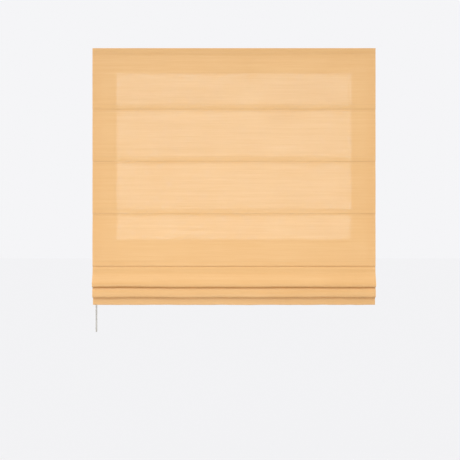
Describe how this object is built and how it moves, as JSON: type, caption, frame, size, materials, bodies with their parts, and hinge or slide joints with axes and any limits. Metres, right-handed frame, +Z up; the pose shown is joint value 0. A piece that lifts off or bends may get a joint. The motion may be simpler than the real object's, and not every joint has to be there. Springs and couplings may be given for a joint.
{
  "type": "roman blind",
  "caption": "Chain-operated roman blind: a flat cloth face on a headrail, its lower part drawn up in soft pleats over rods, with a weighted hem.",
  "frame": {"origin": "middle of the centre bracket's two screw holes, on the plane that the brackets screw up to", "axes": "+X to the right seen from the room, the cloth faces -Y, +Z up"},
  "size_m": [1.2, 0.0591, 1.2119],
  "materials": {
    "cloth": "plain slub weave, matt",
    "tape": "woven tape, matt",
    "hook": "hook tape",
    "rail": "white powder coat",
    "bracket": "zinc plate",
    "housing": "white moulding",
    "moulding": "white moulding",
    "clip": "white moulding",
    "rod": "glass-fibre rod",
    "bar": "plain drawn metal",
    "chain": "nickel plate",
    "cord": "braided cord"
  },
  "bodies": {
    "headrail": {"headrail": "rail", "bracket_left": "bracket", "bracket_centre": "bracket", "bracket_right": "bracket", "end_cap": "housing", "control_housing": "housing", "control_cover": "housing", "hook_tape": "hook", "loop_tape": "tape", "cradle_1": "moulding", "cradle_2": "moulding", "cradle_3": "moulding", "bead_chain": "chain", "chain_connector": "clip", "face_panel": "cloth", "lift_cord_1": "cord", "lift_cord_2": "cord", "lift_cord_3": "cord"},
    "drive": {"drive_shaft": "bar", "spool_1": "moulding", "spool_2": "moulding", "spool_3": "moulding", "chain_wheel": "moulding", "idler_bush": "moulding"},
    "rod_1": {"rod_1": "rod", "pocket_1": "tape", "clips_1": "clip", "tips_1": "clip"},
    "rod_2": {"rod_2": "rod", "pocket_2": "tape", "clips_2": "clip", "tips_2": "clip"},
    "rod_3": {"rod_3": "rod", "pocket_3": "tape", "clips_3": "clip", "tips_3": "clip"},
    "stack": {"fold_stack": "cloth", "rod_4": "rod", "rod_5": "rod", "rod_6": "rod", "pocket_4": "tape", "pocket_5": "tape", "pocket_6": "tape", "clips_4": "clip", "clips_5": "clip", "cord_anchors": "clip", "tips_stack": "clip", "hem_bar": "bar", "hem_bar_plugs": "clip"}
  },
  "joints": [
    {"name": "lift", "type": "slide", "parent": "headrail", "child": "stack", "axis": [0, 0, 1], "range_m": [0, 0.74], "deforming": ["face_panel", "lift_cord_1", "lift_cord_2", "lift_cord_3"]},
    {"name": "rod_1_rise", "type": "slide", "parent": "headrail", "child": "rod_1", "axis": [0, 0, 1], "range_m": [0, 0.2071]},
    {"name": "rod_2_rise", "type": "slide", "parent": "headrail", "child": "rod_2", "axis": [0, 0, 1], "range_m": [0, 0.3844]},
    {"name": "rod_3_rise", "type": "slide", "parent": "headrail", "child": "rod_3", "axis": [0, 0, 1], "range_m": [0, 0.5617]},
    {"name": "drive_turn", "type": "hinge", "parent": "headrail", "child": "drive", "pos_m": [0, 0.007, -0.02], "axis": [-1, 0, 0], "range_deg": [0, 5891]}
  ],
  "couplings": [
    {"joint": "rod_1_rise", "follows": "lift", "ratio": 0.27847},
    {"joint": "rod_2_rise", "follows": "lift", "ratio": 0.51808},
    {"joint": "rod_3_rise", "follows": "lift", "ratio": 0.75769},
    {"joint": "drive_turn", "follows": "lift", "rad_per_m": 138.89}
  ]
}
